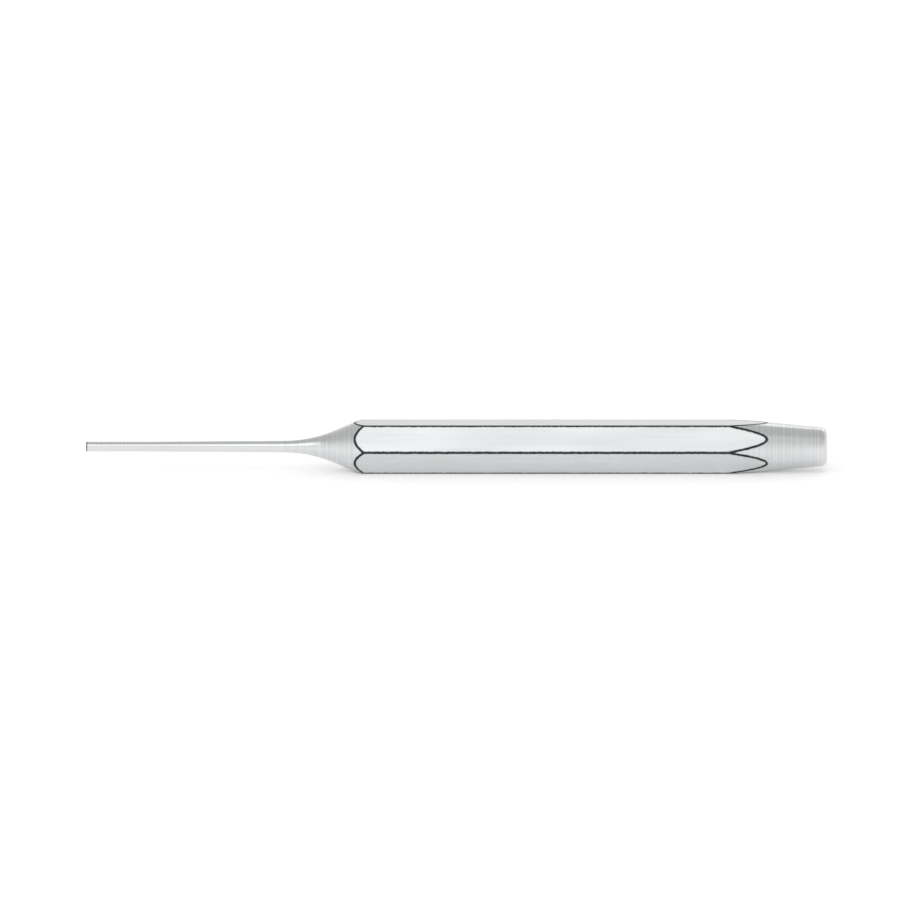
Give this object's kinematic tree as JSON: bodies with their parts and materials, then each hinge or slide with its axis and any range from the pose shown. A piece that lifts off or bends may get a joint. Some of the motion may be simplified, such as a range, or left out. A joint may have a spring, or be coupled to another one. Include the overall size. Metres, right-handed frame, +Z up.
{
  "type": "pin punch",
  "caption": "One-piece steel pin punch: a slim round pin flares into a hexagon shank and ends in a tapered striking head.",
  "frame": {"origin": "under the middle of the tool, centred in X and Y, on the plane of the flat it rests on", "axes": "+X along the tool's axis from the working tip to the struck face, +Z up, away from the resting flat"},
  "size_m": [0.15, 0.0114, 0.01],
  "materials": {
    "ground_pin": "ground between centres, bright",
    "turned_steel": "turned, fine rings, bright",
    "satin_bar": "drawn bar, satin chromed, pale"
  },
  "bodies": {
    "root": {"pin": "ground_pin", "neck": "turned_steel", "shank": "satin_bar", "head": "turned_steel"}
  },
  "joints": []
}
